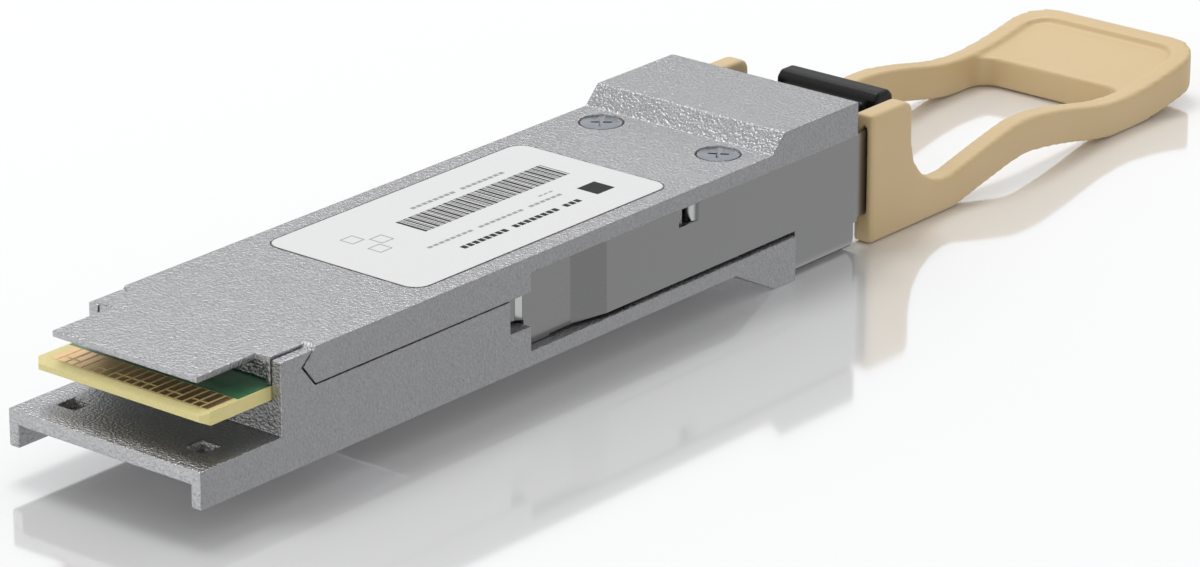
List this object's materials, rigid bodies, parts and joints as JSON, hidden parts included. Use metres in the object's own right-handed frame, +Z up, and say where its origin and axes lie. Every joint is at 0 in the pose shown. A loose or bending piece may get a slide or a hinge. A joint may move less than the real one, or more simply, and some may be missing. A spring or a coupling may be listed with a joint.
{
  "type": "optical transceiver module",
  "caption": "Flat metal pluggable fibre-optic module with an exposed edge card at its nose, a sprung release slider, a long looped pull tab and a dust plug in its port.",
  "frame": {"origin": "under the middle of the whole object's length and width, level with its lowest face, the wedge's foot", "axes": "+Y from the nose to the pull tab, +Z up, +X to the right when looking from the nose towards the pull tab"},
  "size_m": [0.0184, 0.1218, 0.0124],
  "materials": {
    "casting": "fine-grained as-cast, satin",
    "sheet": "smooth satin stamped sheet",
    "screw": "bright plated, slightly satin",
    "spring": "bright wire and strip",
    "tab": "satin moulded",
    "board": "glass-epoxy laminate with green solder mask and gold-plated contacts",
    "paper": "matt coated label",
    "chip": "moulded package",
    "die": "polished semiconductor",
    "lens": "clear amber moulded lens plastic",
    "fibre": "coated fibre ribbon",
    "ferrule": "filled moulded ferrule",
    "receptacle": "moulded",
    "rubber": "satin moulded elastomer",
    "gasket": "conductive elastomer",
    "thermal": "soft filled gap pad",
    "ceramic": "fired ceramic"
  },
  "bodies": {
    "housing": {"top_shell": "casting", "bottom_shell": "casting", "label": "paper", "cover_screw_left": "screw", "cover_screw_right": "screw", "circuit_board": "board", "mpo_receptacle": "receptacle", "port_gasket": "gasket", "mt_ferrule": "ferrule", "pin_keeper": "ferrule", "guide_pin_left": "screw", "guide_pin_right": "screw", "fibre_ribbon": "fibre", "lens_block": "lens", "lens_clip": "spring", "laser_array": "die", "photodiode_array": "die", "laser_driver": "die", "receiver_amplifier": "die", "retimer_transmit": "chip", "retimer_receive": "chip", "thermal_pad": "thermal", "microcontroller": "chip", "memory_chip": "chip", "crystal": "sheet", "return_spring_left": "spring", "return_spring_right": "spring", "seam_gasket_left": "gasket", "seam_gasket_right": "gasket", "capacitor_1": "ceramic", "capacitor_2": "ceramic", "capacitor_3": "ceramic", "capacitor_4": "ceramic", "capacitor_5": "ceramic", "capacitor_6": "ceramic", "inductor_1": "chip", "inductor_2": "chip", "inductor_3": "chip", "inductor_4": "chip"},
    "release": {"latch_slider": "sheet", "pull_tab": "tab"},
    "plug": {"dust_plug": "rubber"}
  },
  "joints": [
    {"name": "release_slide", "type": "slide", "parent": "housing", "child": "release", "axis": [0, 1, 0], "range_m": [0, 0.0025], "stiffness_N_per_m": 800, "springref_m": -0.0005, "deforming": ["return_spring_left", "return_spring_right"]},
    {"name": "dust_plug_slide", "type": "slide", "parent": "housing", "child": "plug", "axis": [0, 1, 0], "range_m": [0, 0.018]}
  ]
}
